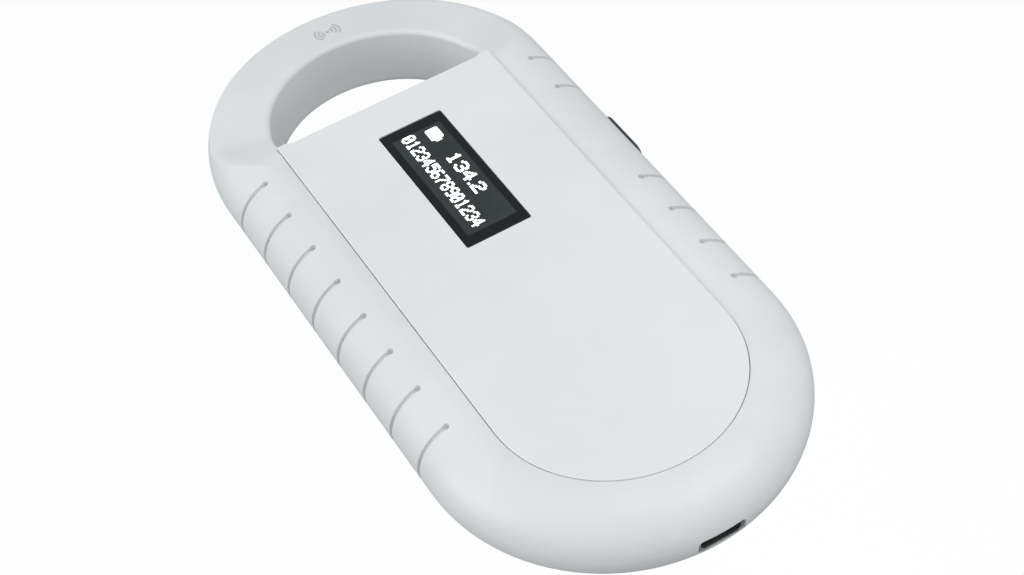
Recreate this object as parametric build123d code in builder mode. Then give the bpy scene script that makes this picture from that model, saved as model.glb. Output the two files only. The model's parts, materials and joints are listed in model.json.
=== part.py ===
from build123d import *
from math import asin, degrees, hypot, radians, sqrt, tan
import os

os.makedirs("parts", exist_ok=True)

# Handheld microchip scanner, lying on its back. Millimetres.
# The origin is the middle of the footprint, on the back face.
# +Z points out of the display face, +Y towards the antenna ring, +X towards the side button.

# Casing
length = 132.0
width = 62.0
end_radius = width / 2
end_y = length / 2 - end_radius  # centre of each round end
mid_z = 7.8  # parting plane, where the casing is widest
crest_z = 15.45  # highest line of the rim
rim_run = 8.5  # how far in the rim's curve reaches
crest_r = end_radius - rim_run
valley_r = 20.3  # foot of the rim's inner slope, beside the face panel
valley_z = 15.2
wall = 2.0
ceiling_z = 12.3  # underside of the deck that carries the face panel
lip_outer_r = 29.9
lip_top_z = 9.2
fit_gap = 0.1
form_top = 20.0  # above everything, for cuts that go right through
form_low = -1.0  # and below everything

# Antenna ring
hole_r = 19.55
hole_y = 35.4
chord_y = 34.0
hole_corner_r = 2.3
hole_top_round = 0.7
hole_back_round = 1.2
ring_ceiling_z = 8.6
ring_slope = 0.13  # fall of the ring's top face per mm outwards
ring_tilt = 3.0  # degrees, and the whole face also falls towards the tip
ring_apex_y = 35.4
ring_apex_z = 15.54
ring_flat_r = 15.0  # inside this the cone is cut flat
ring_reach = 60.0
ring_side_x = 16.4  # beyond it the body slopes down to the ring on both sides
shoulder_y = 30.5
shoulder_back_y = 20.0
shoulder_crown_r = 13.0
shoulder_foot_r = 9.0
shoulder_angle = 20.0
shoulder_run = 16.0
tip_start_y = 44.0
brow_r = 29.95  # line just outside the rim, where the ring's face is rounded into it
brow_z = 11.65
brow_lean = 34.0
brow_round = 2.6

# Face panel
panel_top_z = 15.6
panel_floor_z = 13.8
panel_half_width = 20.2
panel_head_y = 34.5
panel_foot_y = -37.46
panel_foot_run = 19.66
panel_edge_r = 0.2
panel_gap = 0.12
panel_corner_r = 3.0
panel_corner_run = 1.7
adhesive = 0.15

# Display, a 0.91 inch 128 x 32 module under a smoked lens
display_x = 0.4
display_y = 11.3
lens_width = 11.6
lens_length = 29.8
lens_thickness = 0.95
lens_top_z = 15.55
module_width = 11.5
module_length = 30.0
module_thickness = 1.45
module_z = 12.0
window_width = 9.6
window_length = 27.0

# Grip grooves
groove_pitch = 8.64
groove_top_y = 28.6
groove_width = 0.8
groove_depth = 0.55
groove_in_x = 25.4
groove_dot_r = 0.55
groove_reach = 8.0  # from the inner end to beyond the rim
groove_floor_top = 14.1
groove_floor_low = 0.9
groove_total = 8
button_grooves = (2, 3)  # rows left out on the button side

# Side button
button_y = 8.15
button_length = 11.3
button_height = 6.0
button_out_x = 30.95
button_edge_r = 0.4
button_gap = 0.25
scoop_r = 40.0
scoop_x = 29.9
pocket_x = 28.4
pocket_length = 14.4
pocket_height = 8.4
flange_x = 27.3
flange_length = 12.9
flange_height = 7.4
flange_clearance = 0.15
stem_x = 25.4
switch_x = 24.0  # front of the switch
switch_z = 7.4
switch_depth = 3.6

# Circuit board
pcb_z = 4.3
pcb_thickness = 1.0
pcb_top = pcb_z + pcb_thickness
pcb_half_width = 20.0
pcb_head_y = 24.0
pcb_end_r = 27.2

# Battery
battery_width = 30.0
battery_length = 40.0
battery_thickness = 5.0
battery_y = -31.0
battery_z = 6.9
wire_z = 9.4
wire_r = 0.5
wire_pitch = 1.4
plug_x = -12.5
plug_mouth_y = 1.8
plug_z = 6.95
plug_length = 5.0

buzzer_spot = (-8.5, -56.0)

# Fasteners, M2 through the back and M1.6 through the board
screw_spots = [(23.8, 20.0), (-23.8, 20.0), (23.8, -40.0), (-23.8, -40.0)]
screw_r = 1.0
screw_head_r = 1.9
screw_boss_r = 2.5
screw_head_z = 1.7
screw_sunk = 0.35
screw_gap = 0.15
screw_socket_r = 0.75
screw_socket_depth = 0.8
screw_tip_z = 11.0
board_spots = [(-16.5, 20.5), (16.5, 20.5), (0.0, -54.5)]
board_screw_r = 0.8
board_head_r = 1.6
board_boss_r = 2.2
board_screw_tip_z = 1.4

# Coil, wound round the ring's opening
coil_in = 2.6
coil_out = 6.2
coil_z = 3.6
coil_height = 4.0
tape = 0.15
lead_r = 0.2
lead_z = 5.55
lead_half_gap = 2.5
lead_end_y = 21.5

# Flat cable that folds back from the display module to the board
flex_width = 8.0
flex_r = 3.3
flex_thickness = 0.2

# Micro-USB socket at the foot
usb_width = 7.5
usb_height = 2.6
usb_depth = 5.6
usb_mouth_y = -65.3
usb_wall = 0.3
usb_z = pcb_top + 0.02 + usb_height / 2
usb_cut_width = 8.1
usb_cut_height = 3.2


def stadium(radius, mode=Mode.ADD):
    SlotCenterToCenter(2 * end_y, 2 * radius, rotation=90, mode=mode)


def ring_opening(margin):
    # The D-shaped opening of the ring, grown by a margin.
    with Locations((0, hole_y)):
        Circle(hole_r + margin)
    with Locations((0, chord_y - margin)):
        Rectangle(4 * hole_r, 4 * hole_r, align=(Align.CENTER, Align.MIN), mode=Mode.INTERSECT)
    fillet(vertices(), hole_corner_r + margin)


def panel_outline(margin, top_y):
    # Straight sides, a half ellipse at the foot and a straight top edge.
    with Locations((0, panel_foot_y)):
        Ellipse(panel_half_width + margin, panel_foot_run + margin)
        Rectangle(2 * (panel_half_width + margin), top_y - panel_foot_y, align=(Align.CENTER, Align.MIN))


def rim_section(inset, low_z, top_z):
    # Half of the casing's cross-section: a flat middle and a rim of two quarter ellipses.
    with BuildLine() as outline:
        Line((0, low_z), (crest_r, low_z))
        EllipticalCenterArc((crest_r, mid_z), rim_run - inset, mid_z - low_z, 270)
        EllipticalCenterArc((crest_r, mid_z), rim_run - inset, top_z - mid_z, 0)
        Line((crest_r, top_z), (0, top_z))
        Line((0, top_z), (0, low_z))
    make_face(outline.edges())


def stadium_form(inset, low_z, top_z):
    # The rim section swept round the casing: two half turns and a straight run between them.
    with BuildPart() as form:
        with BuildSketch(Plane.XZ.offset(-end_y)):
            rim_section(inset, low_z, top_z)
        revolve(axis=Axis((0, end_y, 0), (0, 0, 1)), revolution_arc=180)
        mirror(about=Plane.XZ)
        with BuildSketch(Plane.XZ.offset(end_y)):
            rim_section(inset, low_z, top_z)
            mirror(about=Plane.YZ)
        extrude(amount=-2 * end_y)
    return form.part


def inner_slope():
    # What the rim's inner slope cuts away, as half a section.
    with BuildLine() as outline:
        TangentArc((crest_r, crest_z), (valley_r, valley_z), tangent=(-1, 0))
        Polyline((valley_r, valley_z), (0, valley_z), (0, crest_z), (crest_r, crest_z))
    make_face(outline.edges())


def shoulder_outline():
    # Side view of the body's end, where it slopes down to the ring.
    with BuildLine() as outline:
        crown_center = (shoulder_y, crest_z - shoulder_crown_r)
        crown = CenterArc(crown_center, shoulder_crown_r, 90 - shoulder_angle, shoulder_angle)
        slide = PolarLine(crown @ 0, shoulder_run, -shoulder_angle)
        foot_y = (slide @ 1).X
        Polyline(slide @ 1, (foot_y, 0), (shoulder_back_y, 0), (shoulder_back_y, crest_z), crown @ 1)
    make_face(outline.edges())


def grip_cutters(rim_height, far_z, dot_z):
    # Thin crescents that follow the rim, each with a round dot at its inner end.
    rows = [(side, row) for side in (1, -1) for row in range(groove_total)]
    spots = [(side, groove_top_y - row * groove_pitch) for side, row in rows
             if not (side == 1 and row in button_grooves)]
    with BuildPart() as cutters:
        for side, y in spots:
            with BuildSketch(Plane.XZ.offset(-y)):
                with Locations((side * (groove_in_x + groove_reach / 2), (mid_z + far_z) / 2)):
                    Rectangle(groove_reach, abs(far_z - mid_z))
                with Locations((side * crest_r, mid_z)):
                    Ellipse(rim_run - groove_depth, rim_height - groove_depth, mode=Mode.SUBTRACT)
            extrude(amount=groove_width / 2, both=True)
            with BuildSketch(Plane.XY.offset(dot_z)):
                with Locations((side * groove_in_x, y)):
                    Circle(groove_dot_r)
            extrude(amount=far_z - dot_z)
    return cutters.part


# Forms shared by the two shells
casing = stadium_form(0.0, 0.0, crest_z)

with BuildPart() as hollow:
    add(stadium_form(wall, wall, ceiling_z))
    with BuildSketch():
        ring_opening(wall)
    extrude(amount=crest_z, mode=Mode.SUBTRACT)
    with BuildSketch(Plane.XY.offset(ring_ceiling_z)):
        with Locations((0, chord_y - wall - 1.0)):
            Rectangle(width, length, align=(Align.CENTER, Align.MIN))
    extrude(amount=crest_z, mode=Mode.SUBTRACT)
    with BuildSketch():
        with Locations(*screw_spots):
            Circle(screw_boss_r)
    extrude(amount=crest_z, mode=Mode.SUBTRACT)

# Underside of what is cut away above the ring: a tilted cone, reached from the body by a soft S
with BuildPart() as ring_cone:
    with BuildSketch(Plane.XZ):
        with BuildLine():
            Polyline(
                (0, -ring_apex_z),
                (ring_reach, -ring_apex_z),
                (ring_reach, -ring_slope * ring_reach),
                (ring_flat_r, -ring_slope * ring_flat_r),
                (0, -ring_slope * ring_flat_r),
                close=True,
            )
        make_face()
    revolve(axis=Axis.Z)
ring_face = Pos(0, ring_apex_y, ring_apex_z) * Rot(-ring_tilt, 0, 0) * ring_cone.part

with BuildPart() as ring_flank:
    with BuildSketch():
        with Locations((ring_side_x, shoulder_back_y)):
            Rectangle(width, length, align=(Align.MIN, Align.MIN))
    extrude(amount=form_top)
    add(ring_face, mode=Mode.INTERSECT)
    split(bisect_by=Plane.YZ.offset(width), keep=Keep.BOTTOM)

with BuildPart() as ring_tip:
    with BuildSketch():
        with Locations((0, tip_start_y)):
            Rectangle(2 * ring_side_x, length, align=(Align.CENTER, Align.MIN))
    extrude(amount=form_top)
    add(ring_face, mode=Mode.INTERSECT)

with BuildPart() as brow_limit:
    with BuildSketch():
        stadium(brow_r + brow_z * tan(radians(brow_lean)))
    extrude(amount=form_top, taper=brow_lean)

with BuildPart() as ring_form:
    with BuildSketch(Plane.YZ.offset(ring_side_x)):
        shoulder_outline()
    extrude(amount=width - ring_side_x)
    add(ring_flank.part)
    crease = ring_form.edges().filter_by(GeomType.HYPERBOLA).sort_by(Axis.Y)[0]
    fillet(crease, shoulder_foot_r)
    mirror(about=Plane.YZ)
    add(ring_tip.part)
    add(brow_limit.part, mode=Mode.INTERSECT)
    outer_edges = ring_form.edges().filter_by(
        lambda edge: (edge @ 0.5).Y > shoulder_back_y + 1.0
        and (edge @ 0.5).Z > mid_z
        and hypot((edge @ 0.5).X, max((edge @ 0.5).Y - end_y, 0)) > crest_r + 3.0
    )
    fillet(outer_edges, brow_round)
    with BuildSketch(Plane.YZ):
        shoulder_outline()
    extrude(amount=ring_side_x, both=True)

with BuildPart() as ring_cut:
    with BuildSketch(Plane.XY.offset(mid_z)):
        with Locations((0, shoulder_back_y)):
            Rectangle(width, length, align=(Align.CENTER, Align.MIN))
    extrude(amount=form_top - mid_z)
    add(ring_form.part, mode=Mode.SUBTRACT)

with BuildPart() as ring_hole:
    with BuildSketch(Plane.XY.offset(form_low)):
        ring_opening(0.0)
    extrude(amount=form_top)

# Openings in the side and the foot, cut from both shells
with BuildPart() as side_cut:
    with BuildSketch(Plane.YZ.offset(20.0)):
        with Locations((button_y, mid_z)):
            RectangleRounded(button_length + 2 * button_gap, button_height + 2 * button_gap, 2.2)
    extrude(amount=20.0)
    with BuildSketch(Plane.YZ.offset(switch_x)):
        with Locations((button_y, mid_z)):
            RectangleRounded(pocket_length, pocket_height, pocket_height / 2 - 0.5)
    extrude(amount=pocket_x - switch_x)
    with BuildSketch():
        with Locations((scoop_x + scoop_r, button_y)):
            Circle(scoop_r)
    extrude(amount=crest_z)
    with BuildSketch(Plane.XZ.offset(-usb_mouth_y - 4.0)):
        with Locations((0, usb_z)):
            RectangleRounded(usb_cut_width, usb_cut_height, 0.8)
    extrude(amount=8.0)

print("forms done")

# Top shell, with the rim, the deck under the face panel and the upper half of the ring
with BuildPart() as top_shell:
    add(casing)
    split(bisect_by=Plane.XY.offset(mid_z), keep=Keep.TOP)
    with BuildSketch(Plane.XZ.offset(-end_y)):
        inner_slope()
    revolve(axis=Axis((0, end_y, 0), (0, 0, 1)), revolution_arc=180, mode=Mode.SUBTRACT)
    with BuildSketch(Plane.XZ.offset(end_y)):
        inner_slope()
    revolve(axis=Axis((0, -end_y, 0), (0, 0, -1)), revolution_arc=180, mode=Mode.SUBTRACT)
    with BuildSketch(Plane.XZ.offset(end_y)):
        inner_slope()
        mirror(about=Plane.YZ)
    extrude(amount=-2 * end_y, mode=Mode.SUBTRACT)
    add(hollow.part, mode=Mode.SUBTRACT)
    with BuildSketch(Plane.XY.offset(mid_z)):
        stadium(lip_outer_r + fit_gap)
    extrude(amount=lip_top_z + fit_gap - mid_z, mode=Mode.SUBTRACT)
    with BuildSketch(Plane.XY.offset(mid_z)):
        ring_opening(wall)
        with Locations(*screw_spots):
            Circle(screw_boss_r)
    extrude(amount=lip_top_z + fit_gap - mid_z)
    add(ring_cut.part, mode=Mode.SUBTRACT)
    add(ring_hole.part, mode=Mode.SUBTRACT)
    hole_edges = top_shell.edges().filter_by(
        lambda edge: (edge @ 0.5).Y > chord_y + 0.5
        and (edge @ 0.5).Z > lip_top_z + 0.5
        and hypot((edge @ 0.5).X, (edge @ 0.5).Y - hole_y) < hole_r + 0.1
    )
    fillet(hole_edges, hole_top_round)
    with BuildSketch(Plane.XY.offset(panel_floor_z)):
        panel_outline(panel_gap, panel_head_y + panel_gap)
    extrude(amount=4.0, mode=Mode.SUBTRACT)
    with BuildSketch(Plane.XY.offset(mid_z)):
        with Locations((display_x, display_y)):
            RectangleRounded(module_width + 0.6, module_length + 0.6, 0.3)
        with Locations((display_x, display_y - module_length / 2 - 1.2)):
            Rectangle(flex_width + 1.4, 2.6)
    extrude(amount=8.0, mode=Mode.SUBTRACT)
    add(grip_cutters(crest_z - mid_z, form_top, groove_floor_top), mode=Mode.SUBTRACT)
    add(side_cut.part, mode=Mode.SUBTRACT)
    with BuildSketch(Plane.XY.offset(mid_z)):
        with Locations(*screw_spots):
            Circle(screw_r + 0.05)
    extrude(amount=screw_tip_z + 0.3 - mid_z, mode=Mode.SUBTRACT)
top_shell.part.label = "top_shell"
export_step(top_shell.part, "parts/top_shell.step")
print("top shell done")

# Bottom shell, with the lip, the coil's rib, the screw bosses and the sunk screw seats
with BuildPart() as bottom_shell:
    add(casing)
    split(bisect_by=Plane.XY.offset(mid_z), keep=Keep.BOTTOM)
    add(hollow.part, mode=Mode.SUBTRACT)
    with BuildSketch(Plane.XY.offset(mid_z - 0.3)):
        stadium(lip_outer_r)
        stadium(lip_outer_r - 0.9, Mode.SUBTRACT)
    extrude(amount=lip_top_z - mid_z + 0.3)
    with BuildSketch(Plane.XY.offset(wall - 0.5)):
        ring_opening(coil_out - 1.2)
    extrude(amount=coil_z - 2 * tape - wall + 0.5)
    with BuildSketch(Plane.XY.offset(wall)):
        ring_opening(coil_in + 1.2)
    extrude(amount=2.0, mode=Mode.SUBTRACT)
    with BuildSketch(Plane.XY.offset(wall - 0.5)):
        ring_opening(wall)
        with Locations(*board_spots):
            Circle(board_boss_r)
    extrude(amount=pcb_z - wall + 0.5)
    add(ring_hole.part, mode=Mode.SUBTRACT)
    back_edges = bottom_shell.edges().group_by(Axis.Z)[0].filter_by(
        lambda edge: hypot((edge @ 0.5).X, (edge @ 0.5).Y - hole_y) < hole_r + 0.1
    )
    fillet(back_edges, hole_back_round)
    add(grip_cutters(mid_z, form_low, groove_floor_low), mode=Mode.SUBTRACT)
    add(side_cut.part, mode=Mode.SUBTRACT)
    with BuildSketch(Plane.XY.offset(form_low)):
        with Locations(*screw_spots):
            Circle(screw_head_r + screw_gap)
    extrude(amount=screw_head_z - form_low, mode=Mode.SUBTRACT)
    with BuildSketch():
        with Locations(*screw_spots):
            Circle(screw_r + screw_gap)
    extrude(amount=mid_z, mode=Mode.SUBTRACT)
    with BuildSketch(Plane.XY.offset(board_screw_tip_z - 0.2)):
        with Locations(*board_spots):
            Circle(board_screw_r + 0.05)
    extrude(amount=pcb_z, mode=Mode.SUBTRACT)
bottom_shell.part.label = "bottom_shell"
export_step(bottom_shell.part, "parts/bottom_shell.step")
print("bottom shell done")

# Face panel, bonded into its recess, with a stepped window for the lens
with BuildPart() as face_panel:
    with BuildSketch(Plane.XY.offset(panel_floor_z + adhesive)):
        panel_outline(0.0, panel_head_y)
    extrude(amount=panel_top_z - panel_floor_z - adhesive)
    add(ring_hole.part, mode=Mode.SUBTRACT)
    corner_run = Plane(origin=(0, 0, panel_top_z), x_dir=(1, 1, 0), z_dir=(1, -1, 0))
    corner_start = (panel_half_width + panel_head_y) / sqrt(2) - panel_corner_run
    with BuildSketch(corner_run):
        with Locations((corner_start, 0)):
            Rectangle(2 * panel_corner_r, panel_corner_r, align=(Align.MIN, Align.MAX))
        with Locations((corner_start, -panel_corner_r)):
            Circle(panel_corner_r, mode=Mode.SUBTRACT)
    extrude(amount=2 * panel_corner_r, both=True, mode=Mode.SUBTRACT)
    split(bisect_by=Plane.YZ, keep=Keep.TOP)
    mirror(about=Plane.YZ)
    fillet(face_panel.faces().sort_by(Axis.Z)[-1].edges(), panel_edge_r)
    with BuildSketch(Plane.XY.offset(lens_top_z - lens_thickness - 0.05)):
        with Locations((display_x, display_y)):
            RectangleRounded(lens_width + 0.2, lens_length + 0.2, 0.4)
    extrude(amount=2.0, mode=Mode.SUBTRACT)
    with BuildSketch(Plane.XY.offset(panel_floor_z)):
        with Locations((display_x, display_y)):
            RectangleRounded(window_width, window_length, 0.5)
    extrude(amount=2.0, mode=Mode.SUBTRACT)
face_panel.part.label = "face_panel"
export_step(face_panel.part, "parts/face_panel.step")

# Adhesive film between the panel and the deck
with BuildPart() as panel_adhesive:
    with BuildSketch(Plane.XY.offset(panel_floor_z)):
        panel_outline(-0.8, chord_y - 2.8)
        panel_outline(-4.0, chord_y - 6.0)
        with Locations((display_x, display_y)):
            Rectangle(module_width + 6.0, module_length + 4.0)
    extrude(amount=adhesive)
    with BuildSketch(Plane.XY.offset(panel_floor_z)):
        with Locations((display_x, display_y)):
            Rectangle(module_width + 1.0, module_length + 1.0)
        with Locations((display_x, display_y - module_length / 2 - 1.2)):
            Rectangle(flex_width + 1.4, 3.0)
    extrude(amount=adhesive, mode=Mode.SUBTRACT)
panel_adhesive.part.label = "panel_adhesive"
export_step(panel_adhesive.part, "parts/panel_adhesive.step")

# Smoked lens over the display
with BuildPart() as display_lens:
    with BuildSketch(Plane.XY.offset(lens_top_z - lens_thickness)):
        with Locations((display_x, display_y)):
            RectangleRounded(lens_width, lens_length, 0.3)
    extrude(amount=lens_thickness)
    chamfer(display_lens.faces().sort_by(Axis.Z)[-1].edges(), 0.12)
display_lens.part.label = "display_lens"
export_step(display_lens.part, "parts/display_lens.step")

# Foam frame that keeps dust out between the display module and the panel
with BuildPart() as display_gasket:
    with BuildSketch(Plane.XY.offset(module_z + module_thickness)):
        with Locations((display_x, display_y)):
            Rectangle(module_width, module_length)
            Rectangle(window_width, window_length, mode=Mode.SUBTRACT)
    extrude(amount=panel_floor_z + adhesive - module_z - module_thickness)
display_gasket.part.label = "display_gasket"
export_step(display_gasket.part, "parts/display_gasket.step")

# Display module, two bonded sheets of glass
with BuildPart() as oled_module:
    with BuildSketch(Plane.XY.offset(module_z)):
        with Locations((display_x, display_y)):
            Rectangle(module_width, module_length)
    extrude(amount=module_thickness / 2)
    with BuildSketch(Plane.XY.offset(module_z + module_thickness / 2)):
        with Locations((display_x, display_y + 1.6)):
            Rectangle(module_width, module_length - 3.2)
    extrude(amount=module_thickness / 2)
oled_module.part.label = "oled_module"
export_step(oled_module.part, "parts/oled_module.step")

# Flat cable from the foot end of the module, folded back under it
flex_start_y = display_y - module_length / 2
flex_top_z = module_z + module_thickness / 2 - flex_thickness / 2
flex_mid_z = flex_top_z - flex_r
with BuildPart() as oled_flex:
    with BuildSketch(Plane.YZ.offset(display_x)):
        with BuildLine():
            CenterArc((flex_start_y, flex_mid_z), flex_r, 90, 180)
            offset(amount=flex_thickness / 2)
        make_face()
    extrude(amount=flex_width / 2, both=True)
    split(bisect_by=Plane.XZ.offset(-flex_start_y), keep=Keep.TOP)
oled_flex.part.label = "oled_flex"
export_step(oled_flex.part, "parts/oled_flex.step")

# Connector on the board that takes the flat cable
with BuildPart() as fpc_connector:
    with BuildSketch(Plane.XY.offset(pcb_top)):
        with Locations((display_x, flex_start_y + 1.9)):
            Rectangle(11.0, 3.6)
    extrude(amount=1.2)
    with BuildSketch(Plane.XY.offset(pcb_top + 1.2)):
        with Locations((display_x, flex_start_y + 0.9)):
            Rectangle(10.0, 1.2)
    extrude(amount=0.5)
fpc_connector.part.label = "fpc_connector"
export_step(fpc_connector.part, "parts/fpc_connector.step")

# Tray that holds the module up against the panel, bonded under the deck
with BuildPart() as display_holder:
    with BuildSketch(Plane.XY.offset(module_z - 1.0)):
        with Locations((display_x, display_y)):
            RectangleRounded(module_width + 4.0, module_length + 4.5, 1.0)
    extrude(amount=ceiling_z - module_z + 1.0)
    with BuildSketch(Plane.XY.offset(module_z)):
        with Locations((display_x, display_y)):
            Rectangle(module_width + 0.3, module_length + 0.3)
    extrude(amount=2.0, mode=Mode.SUBTRACT)
    with BuildSketch(Plane.XY.offset(module_z - 2.0)):
        with Locations((display_x, flex_start_y - 1.2)):
            Rectangle(flex_width + 1.4, 2.9)
    extrude(amount=4.0, mode=Mode.SUBTRACT)
display_holder.part.label = "display_holder"
export_step(display_holder.part, "parts/display_holder.step")

# Side button: a soft-edged key with a flange inside the casing and a stem to the switch
with BuildPart() as side_button:
    with BuildSketch(Plane.YZ.offset(flange_x)):
        with Locations((button_y, mid_z)):
            RectangleRounded(button_length, button_height, 2.0)
    extrude(amount=button_out_x - flange_x)
    fillet(side_button.faces().sort_by(Axis.X)[-1].edges(), button_edge_r)
    with BuildSketch(Plane.YZ.offset(flange_x)):
        with Locations((button_y, mid_z)):
            RectangleRounded(flange_length, flange_height, flange_height / 2 - 0.6)
    extrude(amount=pocket_x - flange_clearance - flange_x)
    with BuildSketch(Plane.YZ.offset(stem_x)):
        with Locations((button_y, switch_z)):
            Rectangle(4.0, 2.6)
    extrude(amount=flange_x - stem_x)
side_button.part.label = "side_button"
export_step(side_button.part, "parts/side_button.step")

# Plunger of the switch, which the button's stem pushes
with BuildPart() as switch_plunger:
    with BuildSketch(Plane.YZ.offset(switch_x - 1.0)):
        with Locations((button_y, switch_z)):
            RectangleRounded(2.4, 1.4, 0.3)
    extrude(amount=stem_x - switch_x + 1.0)
switch_plunger.part.label = "switch_plunger"
export_step(switch_plunger.part, "parts/switch_plunger.step")

# Side-acting switch on the board's ear
with BuildPart() as tact_switch:
    with BuildSketch(Plane.XY.offset(pcb_top)):
        with Locations((switch_x - switch_depth / 2, button_y)):
            Rectangle(switch_depth, 7.0)
    extrude(amount=2 * (switch_z - pcb_top))
    with BuildSketch(Plane.YZ.offset(switch_x - 1.6)):
        with Locations((button_y, switch_z)):
            RectangleRounded(2.6, 1.6, 0.4)
    extrude(amount=3.0, mode=Mode.SUBTRACT)
tact_switch.part.label = "tact_switch"
export_step(tact_switch.part, "parts/tact_switch.step")


def usb_outline(shrink):
    # A flat D, its two lower corners cut off.
    half_w = usb_width / 2 - shrink
    half_h = usb_height / 2 - shrink
    cut = 0.75 - 0.4 * shrink
    with BuildLine() as outline:
        Polyline(
            (-half_w, half_h),
            (half_w, half_h),
            (half_w, -half_h + cut),
            (half_w - cut, -half_h),
            (-half_w + cut, -half_h),
            (-half_w, -half_h + cut),
            close=True,
        )
    with Locations((0, usb_z)):
        add(make_face(outline.edges(), mode=Mode.PRIVATE))


# Micro-USB socket: metal shell, plastic tongue and five contacts
with BuildPart() as usb_socket_shell:
    with BuildSketch(Plane.XZ.offset(-usb_mouth_y)):
        usb_outline(0.0)
    extrude(amount=-usb_depth)
    with BuildSketch(Plane.XZ.offset(-usb_mouth_y)):
        usb_outline(usb_wall)
    extrude(amount=-usb_depth, mode=Mode.SUBTRACT)
usb_socket_shell.part.label = "usb_socket_shell"
export_step(usb_socket_shell.part, "parts/usb_socket_shell.step")

with BuildPart() as usb_tongue:
    with BuildSketch(Plane.XZ.offset(-usb_mouth_y - usb_depth + 1.3)):
        usb_outline(usb_wall + 0.02)
    extrude(amount=-1.2)
    with BuildSketch(Plane.XZ.offset(-usb_mouth_y - 1.0)):
        with Locations((0, usb_z + 0.35)):
            Rectangle(4.4, 0.6)
    extrude(amount=-usb_depth + 2.0)
usb_tongue.part.label = "usb_tongue"
export_step(usb_tongue.part, "parts/usb_tongue.step")

with BuildPart() as usb_contacts:
    with BuildSketch(Plane.XZ.offset(-usb_mouth_y - 1.2)):
        with GridLocations(0.65, 1.0, 5, 1):
            with Locations((0, usb_z)):
                Rectangle(0.38, 0.1)
    extrude(amount=-3.0)
usb_contacts.part.label = "usb_contacts"
export_step(usb_contacts.part, "parts/usb_contacts.step")

# Main board, rounded at the foot, with an ear for the switch
with BuildPart() as main_pcb:
    with BuildSketch(Plane.XY.offset(pcb_z)):
        with Locations((0, pcb_head_y)):
            Rectangle(2 * pcb_half_width, length, align=(Align.CENTER, Align.MAX))
        with Locations((pcb_half_width, button_y)):
            Rectangle(2 * (switch_x - 0.3 - pcb_half_width), 10.0)
        stadium(pcb_end_r, Mode.INTERSECT)
        with Locations(*board_spots):
            Circle(board_screw_r + 0.15, mode=Mode.SUBTRACT)
    extrude(amount=pcb_thickness)
main_pcb.part.label = "main_pcb"
export_step(main_pcb.part, "parts/main_pcb.step")


def flat_chip(spot, size_x, size_y, height):
    with BuildPart() as chip:
        with BuildSketch(Plane.XY.offset(pcb_top)):
            with Locations(spot):
                Rectangle(size_x, size_y)
        extrude(amount=height)
    return chip.part


# Chips and the larger components on the board
mcu_chip = flat_chip((12.0, 13.5), 7.0, 7.0, 1.0)
mcu_chip.label = "mcu_chip"
export_step(mcu_chip, "parts/mcu_chip.step")

reader_chip = flat_chip((-1.0, 17.0), 10.0, 4.0, 1.6)
reader_chip.label = "reader_chip"
export_step(reader_chip, "parts/reader_chip.step")

charger_chip = flat_chip((9.5, -55.0), 3.0, 3.0, 0.9)
charger_chip.label = "charger_chip"
export_step(charger_chip, "parts/charger_chip.step")

crystal = flat_chip((10.5, 5.0), 5.0, 3.2, 1.1)
crystal.label = "crystal"
export_step(crystal, "parts/crystal.step")

power_inductor = flat_chip((12.5, -3.5), 4.0, 4.0, 2.0)
power_inductor.label = "power_inductor"
export_step(power_inductor, "parts/power_inductor.step")

# Small ceramic parts in rows
with BuildPart() as capacitors:
    with BuildSketch(Plane.XY.offset(pcb_top)):
        with Locations((8.0, -9.0), (-5.0, 9.0)):
            with GridLocations(2.4, 2.4, 2, 3):
                Rectangle(1.6, 0.8)
    extrude(amount=0.8)
capacitors.part.label = "capacitors"
export_step(capacitors.part, "parts/capacitors.step")

with BuildPart() as resistors:
    with BuildSketch(Plane.XY.offset(pcb_top)):
        with Locations((3.0, 9.0), (0.0, -22.0)):
            with GridLocations(2.4, 2.4, 3, 2):
                Rectangle(0.8, 1.6)
    extrude(amount=0.5)
resistors.part.label = "resistors"
export_step(resistors.part, "parts/resistors.step")

# Round buzzer near the foot
with BuildPart() as buzzer:
    with BuildSketch(Plane.XY.offset(pcb_top)):
        with Locations(buzzer_spot):
            Circle(4.5)
    extrude(amount=3.0)
    fillet(buzzer.faces().sort_by(Axis.Z)[-1].edges(), 0.4)
    with BuildSketch(Plane.XY.offset(pcb_top + 2.0)):
        with Locations(buzzer_spot):
            Circle(0.9)
    extrude(amount=2.0, mode=Mode.SUBTRACT)
buzzer.part.label = "buzzer"
export_step(buzzer.part, "parts/buzzer.step")

# Battery pouch, hung from the deck by a double-sided tape
with BuildPart() as battery_cell:
    with BuildSketch(Plane.XY.offset(battery_z)):
        with Locations((0, battery_y)):
            RectangleRounded(battery_width, battery_length, 1.5)
    extrude(amount=battery_thickness)
    fillet(battery_cell.edges().filter_by(GeomType.LINE).filter_by(Axis.Y), 1.6)
battery_cell.part.label = "battery_cell"
export_step(battery_cell.part, "parts/battery_cell.step")

with BuildPart() as battery_tape:
    with BuildSketch(Plane.XY.offset(battery_z + battery_thickness)):
        with Locations((0, battery_y)):
            Rectangle(20.0, 30.0)
    extrude(amount=ceiling_z - battery_z - battery_thickness)
battery_tape.part.label = "battery_tape"
export_step(battery_tape.part, "parts/battery_tape.step")

# Battery header on the board, with its plug pushed in from the battery side
with BuildPart() as battery_header:
    with BuildSketch(Plane.XY.offset(pcb_top)):
        with Locations((plug_x, plug_mouth_y + 2.2)):
            Rectangle(6.2, 4.4)
    extrude(amount=3.4)
    with BuildSketch(Plane.XZ.offset(-plug_mouth_y)):
        with Locations((plug_x, plug_z)):
            Rectangle(4.8, 2.4)
    extrude(amount=-2.6, mode=Mode.SUBTRACT)
battery_header.part.label = "battery_header"
export_step(battery_header.part, "parts/battery_header.step")

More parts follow.
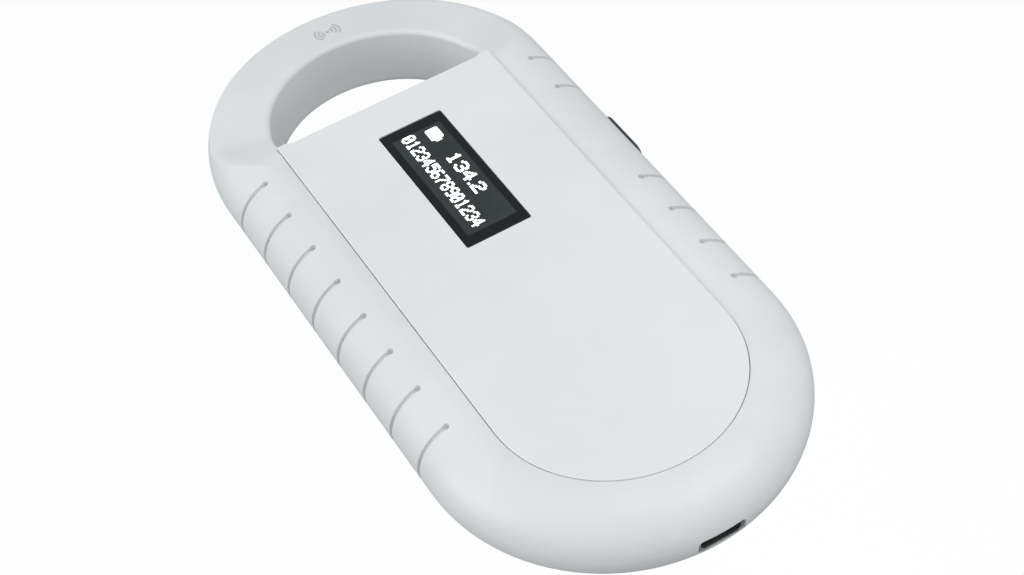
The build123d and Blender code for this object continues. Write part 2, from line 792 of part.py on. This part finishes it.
with BuildPart() as battery_plug:
    with BuildSketch(Plane.XZ.offset(-plug_mouth_y - 2.5)):
        with Locations((plug_x, plug_z)):
            Rectangle(4.6, 2.2)
    extrude(amount=plug_length)
battery_plug.part.label = "battery_plug"
export_step(battery_plug.part, "parts/battery_plug.step")


def battery_wire(x):
    # An S of two equal arcs, from the battery's end down to the plug.
    start_y = battery_y + battery_length / 2
    end_of_wire_y = plug_mouth_y + 2.5 - plug_length
    half_run = (end_of_wire_y - start_y) / 2
    half_drop = (wire_z - plug_z) / 2
    bend_r = (half_run**2 + half_drop**2) / (2 * half_drop)
    turn = degrees(asin(half_run / bend_r))
    with BuildPart() as wire:
        with BuildLine(Plane.YZ.offset(x)):
            CenterArc((start_y, wire_z - bend_r), bend_r, 90, -turn)
            CenterArc((end_of_wire_y, plug_z + bend_r), bend_r, 270 - turn, turn)
        with BuildSketch(Plane(origin=(x, start_y, wire_z), x_dir=(1, 0, 0), z_dir=(0, 1, 0))):
            Circle(wire_r)
        sweep()
    return wire.part


battery_wire_red = battery_wire(plug_x - wire_pitch / 2)
battery_wire_red.label = "battery_wire_red"
export_step(battery_wire_red, "parts/battery_wire_red.step")

battery_wire_black = battery_wire(plug_x + wire_pitch / 2)
battery_wire_black.label = "battery_wire_black"
export_step(battery_wire_black, "parts/battery_wire_black.step")

# Antenna coil round the opening, its tape bands and its two leads
with BuildPart() as antenna_coil:
    with BuildSketch(Plane.XY.offset(coil_z)):
        ring_opening(coil_out)
    extrude(amount=coil_height)
    fillet(antenna_coil.edges().group_by(Axis.Z)[-1], 0.6)
    fillet(antenna_coil.edges().group_by(Axis.Z)[0], 0.6)
    with BuildSketch(Plane.XY.offset(coil_z)):
        ring_opening(coil_in)
    extrude(amount=coil_height, mode=Mode.SUBTRACT)
antenna_coil.part.label = "antenna_coil"
export_step(antenna_coil.part, "parts/antenna_coil.step")

with BuildPart() as coil_tape:
    with BuildSketch(Plane.XY.offset(coil_z - tape)):
        ring_opening(coil_out + tape)
    extrude(amount=coil_height + 2 * tape)
    with BuildSketch(Plane.XY.offset(coil_z - tape)):
        ring_opening(coil_in - tape)
    extrude(amount=coil_height + 2 * tape, mode=Mode.SUBTRACT)
    with BuildSketch(Plane.XY.offset(coil_z - 1.0)):
        with Locations((0, end_y + 4.0)):
            Rectangle(width, 5.0)
        with Locations((0, end_y + 25.0)):
            Rectangle(5.0, 14.0)
    extrude(amount=coil_height + 2.0, mode=Mode.INTERSECT)
    with BuildSketch(Plane.XY.offset(coil_z)):
        ring_opening(coil_out)
    extrude(amount=coil_height, mode=Mode.SUBTRACT)
coil_tape.part.label = "coil_tape"
export_step(coil_tape.part, "parts/coil_tape.step")

with BuildPart() as coil_leads:
    with BuildSketch(Plane.XZ.offset(-(chord_y - coil_out))):
        with Locations((-lead_half_gap, lead_z), (lead_half_gap, lead_z)):
            Circle(lead_r)
    extrude(amount=chord_y - coil_out - lead_end_y)
coil_leads.part.label = "coil_leads"
export_step(coil_leads.part, "parts/coil_leads.step")

# Screws through the back, and the shorter ones that hold the board
with BuildPart() as case_screws:
    with BuildSketch(Plane.XY.offset(screw_sunk)):
        with Locations(*screw_spots):
            Circle(screw_head_r)
    extrude(amount=screw_head_z - screw_sunk)
    with BuildSketch(Plane.XY.offset(screw_head_z)):
        with Locations(*screw_spots):
            Circle(screw_r)
    extrude(amount=screw_tip_z - screw_head_z)
    with BuildSketch(Plane.XY.offset(screw_sunk)):
        with Locations(*screw_spots):
            RegularPolygon(screw_socket_r, 6)
    extrude(amount=screw_socket_depth, mode=Mode.SUBTRACT)
case_screws.part.label = "case_screws"
export_step(case_screws.part, "parts/case_screws.step")

with BuildPart() as pcb_screws:
    with BuildSketch(Plane.XY.offset(pcb_top)):
        with Locations(*board_spots):
            Circle(board_head_r)
    extrude(amount=1.2)
    with BuildSketch(Plane.XY.offset(board_screw_tip_z)):
        with Locations(*board_spots):
            Circle(board_screw_r)
    extrude(amount=pcb_top - board_screw_tip_z)
    with BuildSketch(Plane.XY.offset(pcb_top + 0.7)):
        with Locations(*board_spots):
            Rectangle(1.8, 0.4)
            Rectangle(0.4, 1.8)
    extrude(amount=1.0, mode=Mode.SUBTRACT)
pcb_screws.part.label = "pcb_screws"
export_step(pcb_screws.part, "parts/pcb_screws.step")
print("all parts written")
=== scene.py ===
import json
from math import cos, pi, radians, sin, sqrt

import bmesh
import bpy
from mathutils import Matrix, Vector


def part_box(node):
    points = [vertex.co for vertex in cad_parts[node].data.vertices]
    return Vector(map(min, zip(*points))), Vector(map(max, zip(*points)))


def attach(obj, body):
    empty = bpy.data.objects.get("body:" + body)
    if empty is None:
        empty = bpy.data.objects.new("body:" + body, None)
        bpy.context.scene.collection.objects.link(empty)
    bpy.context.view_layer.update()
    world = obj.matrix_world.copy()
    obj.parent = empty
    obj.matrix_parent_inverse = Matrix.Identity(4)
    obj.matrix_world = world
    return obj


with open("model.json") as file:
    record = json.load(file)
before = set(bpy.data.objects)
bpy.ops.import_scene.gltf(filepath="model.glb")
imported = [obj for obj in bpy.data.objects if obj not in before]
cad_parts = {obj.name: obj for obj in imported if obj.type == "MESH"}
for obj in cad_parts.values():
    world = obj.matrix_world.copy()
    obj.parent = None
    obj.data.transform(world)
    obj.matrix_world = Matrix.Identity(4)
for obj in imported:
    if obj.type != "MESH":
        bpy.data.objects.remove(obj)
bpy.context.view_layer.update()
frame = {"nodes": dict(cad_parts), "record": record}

print("frame loaded:", len(frame["nodes"]), "nodes")
mm = 0.001
nodes = frame["nodes"]
scene = bpy.context.scene


# Shader maths: a wrapped socket that writes its own nodes
class Val:
    def __init__(self, graph, socket, kind="value"):
        self.graph = graph
        self.socket = socket
        self.kind = kind

    def math(self, operation, a, b=None):
        links = {0: a} if b is None else {0: a, 1: b}
        if self.kind == "vector":
            node = self.graph.node("ShaderNodeVectorMath", {"operation": operation}, links)
            return Val(self.graph, node.outputs[0], "vector")
        node = self.graph.node("ShaderNodeMath", {"operation": operation}, links)
        return Val(self.graph, node.outputs[0])

    def __add__(self, other): return self.math("ADD", self, other)
    def __radd__(self, other): return self.math("ADD", other, self)
    def __sub__(self, other): return self.math("SUBTRACT", self, other)
    def __rsub__(self, other): return self.math("SUBTRACT", other, self)
    def __mul__(self, other): return self.math("MULTIPLY", self, other)
    def __rmul__(self, other): return self.math("MULTIPLY", other, self)
    def __abs__(self): return self.math("ABSOLUTE", self)
    def larger(self, other): return self.math("MAXIMUM", self, other)
    def sine(self): return self.math("SINE", self)

    def soft(self, low, high):
        node = self.graph.node("ShaderNodeMapRange", {"interpolation_type": "SMOOTHSTEP"},
                               {"Value": self, "From Min": low, "From Max": high})
        return Val(self.graph, node.outputs[0])


class Graph:
    def __init__(self, owner, shaderKind="ShaderNodeBsdfPrincipled", outputKind="ShaderNodeOutputMaterial"):
        self.owner = owner
        owner.use_nodes = True
        self.tree = owner.node_tree
        self.tree.nodes.clear()
        self.shader = self.node(shaderKind)
        out = self.node(outputKind)
        self.tree.links.new(self.shader.outputs[0], out.inputs[0])
        self.place = None

    def node(self, kind, settings=None, links=None):
        made = self.tree.nodes.new(kind)
        for key, value in (settings or {}).items():
            setattr(made, key, value)
        for key, value in (links or {}).items():
            socket = made.inputs[key]
            if isinstance(value, Val):
                self.tree.links.new(value.socket, socket)
            else:
                socket.default_value = value
        return made

    def position(self):
        if self.place is None:
            made = self.node("ShaderNodeTexCoord")
            self.place = Val(self, made.outputs["Object"], "vector")
        return self.place

    def axis(self, name):
        made = self.node("ShaderNodeSeparateXYZ", None, {0: self.position()})
        return Val(self, made.outputs[name])

    def stretched(self, factors):
        return self.position() * factors

    def noise(self, scale, detail=3.0, rough=0.55, at=None):
        links = {"Vector": at or self.position(), "Scale": scale, "Detail": detail, "Roughness": rough}
        return Val(self, self.node("ShaderNodeTexNoise", None, links).outputs[0])

    def cells(self, scale, at=None, feature="F1"):
        made = self.node("ShaderNodeTexVoronoi", {"feature": feature},
                         {"Vector": at or self.position(), "Scale": scale})
        return Val(self, made.outputs[0])

    def mix(self, factor, first, second):
        made = self.node("ShaderNodeMix", {"data_type": "RGBA"}, {0: factor, 6: first, 7: second})
        return Val(self, made.outputs[2], "vector")

    def bump(self, height, distance, strength):
        links = {"Height": height, "Distance": distance, "Strength": strength}
        return Val(self, self.node("ShaderNodeBump", None, links).outputs[0], "vector")

    def feed(self, **sockets):
        for key, value in sockets.items():
            name = shaderNames[key]
            if isinstance(value, Val):
                self.tree.links.new(value.socket, self.shader.inputs[name])
            else:
                self.shader.inputs[name].default_value = value
        return self.owner


shaderNames = {
    "colour": "Base Color", "rough": "Roughness", "metal": "Metallic", "coat": "Coat Weight",
    "normal": "Normal", "glow": "Emission Color", "glowPower": "Emission Strength",
    "spec": "Specular IOR Level", "light": "Color", "power": "Strength",
}


def newMaterial(name):
    return Graph(bpy.data.materials.new(name))


def paint(r, g, b, a=1.0):
    # sRGB 0 to 255 into the linear values that the shader takes
    def linear(v):
        v = v / 255.0
        return v / 12.92 if v <= 0.04045 else ((v + 0.055) / 1.055) ** 2.4
    return (linear(r), linear(g), linear(b), a)


# Materials
shellLook = {
    "base": (224, 226, 226), "shade": (219, 221, 222), "rough": 0.42, "grain": 2600.0,
    "grainDepth": 0.000006, "cloud": 38.0,
}


def mouldedPlastic(name, look):
    # Satin off-white plastic: fine spark-eroded grain, faint clouding and a trace of handling
    g = newMaterial(name)
    cloud = g.noise(look["cloud"], 4.0, 0.6)
    fine = g.noise(look["grain"], 2.0, 0.6)
    pits = g.cells(look["grain"] * 0.55)
    tint = g.mix(cloud.soft(0.38, 0.66), paint(*look["shade"]), paint(*look["base"]))
    height = fine * 0.6 + pits * 0.4
    rub = g.noise(look["cloud"] * 3.0, 5.0, 0.7).soft(0.45, 0.75)
    rough = look["rough"] + fine * 0.05 - rub * 0.05
    return g.feed(colour=tint, rough=rough, normal=g.bump(height, look["grainDepth"], 0.6), spec=0.5)


panelLook = {
    "base": (227, 229, 229), "shade": (223, 225, 226), "rough": 0.46, "grain": 3000.0,
    "grainDepth": 0.000005, "cloud": 30.0,
}

lensLook = {
    "rough": 0.14, "frame": (8, 10, 12), "areaDark": (40, 48, 47), "areaLight": (48, 58, 56),
    "sideFade": (4.3 * mm, 4.6 * mm), "endFade": (12.5 * mm, 12.9 * mm),  # from the middle to the border
}


def smokedLens(name, look):
    # Dark glossy acrylic with a printed black border and the faint grey-green of the lit area
    g = newMaterial(name)
    low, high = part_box("display_lens")
    midX = (low.x + high.x) / 2
    midY = (low.y + high.y) / 2
    sides = abs(g.axis("X") - midX).soft(*look["sideFade"])
    ends = abs(g.axis("Y") - midY).soft(*look["endFade"])
    dust = g.noise(5200.0, 2.0, 0.5).soft(0.66, 0.74)
    patch = g.noise(160.0, 3.0).soft(0.3, 0.7)
    inner = g.mix(patch, paint(*look["areaDark"]), paint(*look["areaLight"]))
    colour = g.mix(sides.larger(ends), inner, paint(*look["frame"]))
    rough = look["rough"] + dust * 0.1 + g.noise(220.0, 4.0).soft(0.4, 0.8) * 0.05
    return g.feed(colour=colour, rough=rough, normal=g.bump(dust, 0.000002, 0.3), spec=0.25)


def litPixels(name):
    g = newMaterial(name)
    cell = g.noise(9000.0, 1.0)
    colour = g.mix(cell.soft(0.3, 0.7), paint(244, 248, 250), paint(255, 255, 255))
    return g.feed(colour=colour, rough=0.4, glow=colour, glowPower=0.75)


def printedInk(name, colour):
    g = newMaterial(name)
    fine = g.noise(3400.0, 2.0, 0.6)
    tint = g.mix(fine.soft(0.3, 0.7), paint(*colour), paint(*[c + 6 for c in colour]))
    return g.feed(colour=tint, rough=0.5 + fine * 0.1, normal=g.bump(fine, 0.000003, 0.4))


def softRubber(name, colour, rough=0.62):
    g = newMaterial(name)
    fine = g.noise(2400.0, 3.0, 0.6)
    worn = g.noise(260.0, 4.0, 0.6).soft(0.45, 0.7)
    tint = g.mix(worn, paint(*colour), paint(*[c + 10 for c in colour]))
    rough = rough + fine * 0.12 - worn * 0.06
    return g.feed(colour=tint, rough=rough, normal=g.bump(fine, 0.00001, 0.5), spec=0.4)


def plainPlastic(name, colour, rough=0.5):
    g = newMaterial(name)
    fine = g.noise(3000.0, 2.0, 0.6)
    broad = g.noise(240.0, 3.0)
    tint = g.mix(broad.soft(0.35, 0.7), paint(*colour), paint(*[min(255, c + 8) for c in colour]))
    return g.feed(colour=tint, rough=rough + fine * 0.1, normal=g.bump(fine, 0.000006, 0.5))


def brushedMetal(name, colour, rough=0.3, along=(1.0, 12.0, 12.0)):
    # Rolled sheet or turned stock: long fine scratches, slight staining
    g = newMaterial(name)
    streak = g.noise(900.0, 4.0, 0.6, g.stretched(along))
    stain = g.noise(300.0, 3.0).soft(0.4, 0.75)
    tint = g.mix(stain, paint(*colour), paint(*[c * 0.86 for c in colour]))
    rough = rough + streak * 0.18
    return g.feed(colour=tint, rough=rough, metal=1.0, normal=g.bump(streak, 0.000004, 0.5))


boardLook = {"trackScale": 420.0, "trackEdge": (0.10, 0.16), "mask": (18, 74, 44), "copper": (28, 104, 60)}


def circuitBoard(name, look):
    # Green solder mask over copper tracks that run both ways
    g = newMaterial(name)
    across = g.cells(look["trackScale"], g.stretched((1.0, 0.12, 1.0)), "DISTANCE_TO_EDGE")
    along = g.cells(look["trackScale"], g.stretched((0.12, 1.0, 1.0)), "DISTANCE_TO_EDGE")
    region = g.noise(90.0, 1.0).soft(0.48, 0.52)
    track = across.soft(*look["trackEdge"]) * region + along.soft(*look["trackEdge"]) * (1.0 - region)
    tint = g.mix(track, paint(*look["mask"]), paint(*look["copper"]))
    rough = 0.32 + g.noise(1500.0) * 0.1
    return g.feed(colour=tint, rough=rough, normal=g.bump(track, 0.00003, 0.6), coat=0.25)


# the two copper tones are shaded and lit copies of one colour: painted shade for the gaps between turns,
# painted light for the crests
coilLook = {"centreY": 35.4 * mm, "turnRate": 26000.0, "paintedGapShade": (112, 48, 20), "light": (196, 108, 52)}


def woundCopper(name, look):
    # Enamelled turns that follow the opening of the ring, with painted shade in the gaps between turns and
    # painted light on their crests
    g = newMaterial(name)
    flat = (g.position() - (0.0, look["centreY"], 0.0)) * (1.0, 1.0, 0.0)
    reach = g.node("ShaderNodeVectorMath", {"operation": "LENGTH"}, {0: flat})
    turns = (Val(g, reach.outputs["Value"]) * look["turnRate"]).sine()
    rows = (g.axis("Z") * look["turnRate"]).sine()
    height = turns * rows
    # colour follows the turn height: painted shade low between the turns, painted light on the crests
    tint = g.mix(height.soft(-0.6, 0.8), paint(*look["paintedGapShade"]), paint(*look["light"]))
    rough = 0.32 + g.noise(800.0) * 0.1
    return g.feed(colour=tint, rough=rough, metal=0.85, normal=g.bump(height, 0.00006, 0.7))


def ceramicChips(name):
    g = newMaterial(name)
    speck = g.noise(2600.0, 3.0)
    tint = g.mix(speck.soft(0.35, 0.7), paint(150, 118, 82), paint(176, 142, 100))
    return g.feed(colour=tint, rough=0.5 + speck * 0.1, normal=g.bump(speck, 0.000008, 0.5))


def foilPouch(name):
    # Crinkled aluminium laminate with a dull printed coat
    g = newMaterial(name)
    crease = g.noise(180.0, 5.0, 0.7)
    tint = g.mix(crease.soft(0.4, 0.6), paint(176, 180, 184), paint(206, 208, 210))
    return g.feed(colour=tint, rough=0.28 + crease * 0.2, metal=0.8, normal=g.bump(crease, 0.00012, 0.6))


def amberTape(name):
    g = newMaterial(name)
    wrinkle = g.noise(700.0, 4.0, 0.6, g.stretched((1.0, 4.0, 1.0)))
    tint = g.mix(wrinkle.soft(0.35, 0.7), paint(178, 104, 20), paint(214, 142, 44))
    rough = 0.18 + wrinkle * 0.14
    return g.feed(colour=tint, rough=rough, normal=g.bump(wrinkle, 0.00003, 0.6), coat=0.3)


finishes = {
    "shell_plastic": mouldedPlastic("shellPlastic", shellLook),
    "panel_plastic": mouldedPlastic("panelPlastic", panelLook),
    "adhesive": plainPlastic("tapeFilm", (206, 204, 196), 0.6),
    "smoked_lens": smokedLens("smokedLens", lensLook),
    "foam": softRubber("blackFoam", (30, 30, 30), 0.8),
    "display_glass": plainPlastic("displayGlass", (20, 22, 24), 0.12),
    "flex_film": amberTape("flexFilm"),
    "black_plastic": plainPlastic("blackPlastic", (24, 24, 25), 0.45),
    "white_plastic": plainPlastic("whitePlastic", (222, 216, 200), 0.45),
    "button_rubber": softRubber("buttonRubber", (52, 55, 57)),
    "switch_metal": brushedMetal("switchMetal", (190, 190, 188), 0.3),
    "socket_steel": brushedMetal("socketSteel", (186, 188, 190), 0.28),
    "contact_gold": brushedMetal("contactGold", (222, 180, 92), 0.22),
    "board": circuitBoard("circuitBoard", boardLook),
    "ceramic": ceramicChips("ceramicChips"),
    "crystal_can": brushedMetal("crystalCan", (200, 200, 196), 0.25),
    "battery_foil": foilPouch("batteryFoil"),
    "red_insulation": plainPlastic("redInsulation", (168, 26, 22), 0.4),
    "black_insulation": plainPlastic("blackInsulation", (22, 22, 23), 0.4),
    "copper": woundCopper("woundCopper", coilLook),
    "amber_tape": amberTape("amberTape"),
    "screw_steel": brushedMetal("screwSteel", (150, 152, 154), 0.32, (12.0, 12.0, 1.0)),
}
for part in frame["record"]["subparts"]:
    holder = nodes[part["node"]]
    holder.data.materials.clear()
    holder.data.materials.append(finishes[part["material_slot"]])
print("materials done:", len(finishes))


# Pieces built here
def addMesh(name, bm, material, body="housing"):
    mesh = bpy.data.meshes.new(name)
    bm.normal_update()
    bm.to_mesh(mesh)
    bm.free()
    piece = bpy.data.objects.new(name, mesh)
    scene.collection.objects.link(piece)
    mesh.materials.append(material)
    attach(piece, body)
    return piece


def addBlock(bm, low, high, soften=0.0):
    # One tile between two opposite corners, with all four upright edges cut back by soften
    corners = [(low[0], low[1]), (high[0], low[1]), (high[0], high[1]), (low[0], high[1])]
    ring = []
    for index, (x, y) in enumerate(corners):
        if soften <= 0.0:
            ring.append((x, y))
            continue
        for other in (corners[index - 1], corners[(index + 1) % 4]):
            dx, dy = other[0] - x, other[1] - y
            size = sqrt(dx * dx + dy * dy)
            ring.append((x + dx / size * soften, y + dy / size * soften))
    lower = [bm.verts.new((x, y, low[2])) for x, y in ring]
    upper = [bm.verts.new((x, y, high[2])) for x, y in ring]
    bm.faces.new(upper)
    bm.faces.new(list(reversed(lower)))
    count = len(ring)
    for i in range(count):
        j = (i + 1) % count
        bm.faces.new((lower[i], lower[j], upper[j], upper[i]))


# Display picture: rows of lit dots, read with the ring on the left
digitShapes = {
    "0": ("01110", "10001", "10011", "10101", "11001", "10001", "01110"),
    "1": ("00100", "01100", "00100", "00100", "00100", "00100", "01110"),
    "2": ("01110", "10001", "00001", "00110", "01000", "10000", "11111"),
    "3": ("01110", "10001", "00001", "00110", "00001", "10001", "01110"),
    "4": ("00010", "00110", "01010", "10010", "11111", "00010", "00010"),
    "5": ("11111", "10000", "11110", "00001", "00001", "10001", "01110"),
    "6": ("01110", "10000", "10000", "11110", "10001", "10001", "01110"),
    "7": ("11111", "00001", "00010", "00100", "01000", "01000", "01000"),
    "8": ("01110", "10001", "10001", "01110", "10001", "10001", "01110"),
    "9": ("01110", "10001", "10001", "01111", "00001", "00001", "01110"),
    ".": ("0", "0", "0", "0", "0", "0", "1"),
}
display = {
    "serial": "012345678901234", "band": "134.2",
    "serialStart": 0.08, "serialEnd": 0.89, "serialLow": 0.25, "serialHigh": 0.45,
    "bandStart": 0.34, "bandEnd": 0.68, "bandLow": 0.60, "bandHigh": 0.80,
    "cellStart": 0.10, "cellEnd": 0.21, "cellCorner": 0.02, "nubLong": 0.14, "nubInset": 0.25,
    "rise": 0.02 * mm, "dotFill": 1.3,  # how far a lit dot reaches over the next one
}


def buildDisplay(spec):
    low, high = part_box("display_lens")
    wide = high.x - low.x
    long = high.y - low.y
    floorZ = high.z
    topZ = high.z + spec["rise"]
    bm = bmesh.new()

    def along(t):
        return high.y - t * long

    def across(s):
        return low.x + s * wide

    def writeRow(text, start, end, bottom, top):
        columns = sum(len(digitShapes[c][0]) + 1 for c in text) - 1
        stepY = (along(start) - along(end)) / columns
        stepX = (across(top) - across(bottom)) / len(digitShapes["0"])
        column = 0
        for character in text:
            shape = digitShapes[character]
            for r, line in enumerate(shape):
                for c, mark in enumerate(line):
                    if mark == "0":
                        continue
                    y = along(start) - (column + c) * stepY
                    x = across(top) - r * stepX
                    padY = stepY * spec["dotFill"]
                    padX = stepX * spec["dotFill"]
                    addBlock(bm, (x - padX, y - padY, floorZ), (x, y, topZ))
            column += len(shape[0]) + 1

    writeRow(spec["serial"], spec["serialStart"], spec["serialEnd"], spec["serialLow"], spec["serialHigh"])
    writeRow(spec["band"], spec["bandStart"], spec["bandEnd"], spec["bandLow"], spec["bandHigh"])
    cellTop = along(spec["cellStart"])
    cellEnd = along(spec["cellEnd"])
    left, right = across(spec["bandLow"]), across(spec["bandHigh"])
    nub = (cellTop - cellEnd) * spec["nubLong"]
    addBlock(bm, (left, cellEnd + nub, floorZ), (right, cellTop, topZ), wide * spec["cellCorner"])
    inset = (right - left) * spec["nubInset"]
    addBlock(bm, (left + inset, cellEnd, floorZ), (right - inset, cellEnd + nub, topZ))
    return addMesh("display_pixels", bm, litPixels("litPixels"))


buildDisplay(display)
print("display done")


# Ring mark: three short arcs each side of a dot, printed on the tilted ring face
ringMark = {
    "centreX": 1.5 * mm, "centreY": 59.85 * mm, "dotR": 0.36 * mm,
    "arcs": (0.92 * mm, 1.6 * mm, 2.3 * mm), "line": 0.28 * mm, "spread": 46.0,
    "lift": 0.03 * mm, "thick": 0.06 * mm, "steps": 24, "ink": (186, 189, 193),
}
ringFace = {"apexZ": 15.54 * mm, "apexY": 35.4 * mm, "slope": 0.13, "tilt": radians(3.0)}


def ringHeight(x, y):
    dy = y - ringFace["apexY"]
    return ringFace["apexZ"] - ringFace["slope"] * sqrt(x * x + dy * dy) - dy * sin(ringFace["tilt"])


def buildRingMark(spec):
    bm = bmesh.new()
    steps = spec["steps"]

    def place(radius, angle, side=1):
        x = spec["centreX"] + side * radius * cos(angle)
        y = spec["centreY"] + radius * sin(angle)
        return bm.verts.new((x, y, ringHeight(x, y) + spec["lift"]))

    bm.faces.new([place(spec["dotR"], 2 * pi * i / steps) for i in range(steps)])
    for side in (1, -1):
        for radius in spec["arcs"]:
            inner, outer = [], []
            for i in range(steps + 1):
                angle = radians(spec["spread"]) * (2 * i / steps - 1)
                inner.append(place(radius - spec["line"] / 2, angle, side))
                outer.append(place(radius + spec["line"] / 2, angle, side))
            for i in range(steps):
                face = (inner[i], outer[i], outer[i + 1], inner[i + 1])
                bm.faces.new(face if side == 1 else tuple(reversed(face)))
    bottom = bmesh.ops.extrude_face_region(bm, geom=bm.faces[:])
    moved = [v for v in bottom["geom"] if isinstance(v, bmesh.types.BMVert)]
    bmesh.ops.translate(bm, verts=moved, vec=(0, 0, -spec["thick"]))
    bmesh.ops.recalc_face_normals(bm, faces=bm.faces[:])
    return addMesh("ring_mark", bm, printedInk("greyInk", spec["ink"]))


buildRingMark(ringMark)
print("ring mark done")

# Floor, lights and camera
studio = {
    "floorSize": 6.0, "floor": (255, 255, 255), "floorGlow": 1.0,
    "skyHigh": (0.96, 0.98, 1.0), "skyLow": (0.95, 0.98, 1.0), "highPower": 0.75, "lowPower": 0.34,
    "blendLow": -0.22, "blendHigh": 0.06,
}


def buildFloor(spec):
    # A white sweep that glows by itself, so it throws neither shadow nor bounce on the scanner
    bm = bmesh.new()
    bmesh.ops.create_grid(bm, x_segments=24, y_segments=24, size=spec["floorSize"] / 2)
    mesh = bpy.data.meshes.new("floor")
    bm.to_mesh(mesh)
    bm.free()
    floor = bpy.data.objects.new("floor", mesh)
    scene.collection.objects.link(floor)
    g = newMaterial("whiteTable")
    colour = g.mix(g.noise(6.0).soft(0.3, 0.7), paint(252, 252, 252), paint(*spec["floor"]))
    mesh.materials.append(g.feed(colour=paint(0, 0, 0), rough=0.9, spec=0.0, glow=colour,
                                 glowPower=spec["floorGlow"]))
    floor.visible_diffuse = False
    floor.visible_glossy = False


buildFloor(studio)


def buildSky(spec):
    world = bpy.data.worlds.new("studio")
    scene.world = world
    g = Graph(world, "ShaderNodeBackground", "ShaderNodeOutputWorld")
    place = g.node("ShaderNodeTexCoord")
    parts = g.node("ShaderNodeSeparateXYZ", None, {0: Val(g, place.outputs["Generated"])})
    high = Val(g, parts.outputs["Z"]).soft(spec["blendLow"], spec["blendHigh"])
    power = high * (spec["highPower"] - spec["lowPower"]) + spec["lowPower"]
    g.feed(light=g.mix(high, (*spec["skyLow"], 1.0), (*spec["skyHigh"], 1.0)), power=power)


buildSky(studio)


def areaLight(name, at, aim, size, power):
    data = bpy.data.lights.new(name, "AREA")
    data.shape = "RECTANGLE"
    data.size, data.size_y = size
    data.energy = power
    lamp = bpy.data.objects.new(name, data)
    scene.collection.objects.link(lamp)
    lamp.location = at
    lamp.rotation_euler = (Vector(aim) - Vector(at)).to_track_quat("-Z", "Y").to_euler()


lamps = {
    "rightSoftbox": ((0.16, -0.24, 0.40), (0.02, -0.04, 0.0), (0.3, 0.3), 0.62),
    "frontSoftbox": ((-0.10, -0.75, 0.22), (0.0, 0.0, 0.0), (0.8, 0.4), 0.1),
    "leftSoftbox": ((-0.80, 0.10, 0.25), (0.0, 0.0, 0.0), (0.5, 0.5), 2.2),
}
for name, (at, aim, size, power) in lamps.items():
    areaLight(name, at, aim, size, power)

view = {
    "aim": (-1.05 * mm, -8.43 * mm, 7.8 * mm), "distance": 333.2 * mm,
    "azimuth": -24.55, "elevation": 48.41, "roll": -8.06, "lens": 73.95,
}


def buildCamera(spec):
    az = radians(spec["azimuth"])
    el = radians(spec["elevation"])
    back = Vector((sin(az) * cos(el), -cos(az) * cos(el), sin(el)))
    right = (-back).cross(Vector((0, 0, 1))).normalized()
    up = right.cross(-back).normalized()
    roll = radians(spec["roll"])
    turnedRight = cos(roll) * right + sin(roll) * up
    turnedUp = back.cross(turnedRight).normalized()
    pose = Matrix((turnedRight, turnedUp, back)).transposed().to_4x4()
    pose.translation = Vector(spec["aim"]) + back * spec["distance"]
    data = bpy.data.cameras.new("camera")
    data.lens = spec["lens"]
    data.sensor_width = 36.0
    data.clip_start = 0.01
    data.clip_end = 20.0
    camera = bpy.data.objects.new("camera", data)
    scene.collection.objects.link(camera)
    camera.matrix_world = pose
    scene.camera = camera


buildCamera(view)
scene.view_settings.view_transform = "Standard"
scene.view_settings.look = "None"
print("stage done")
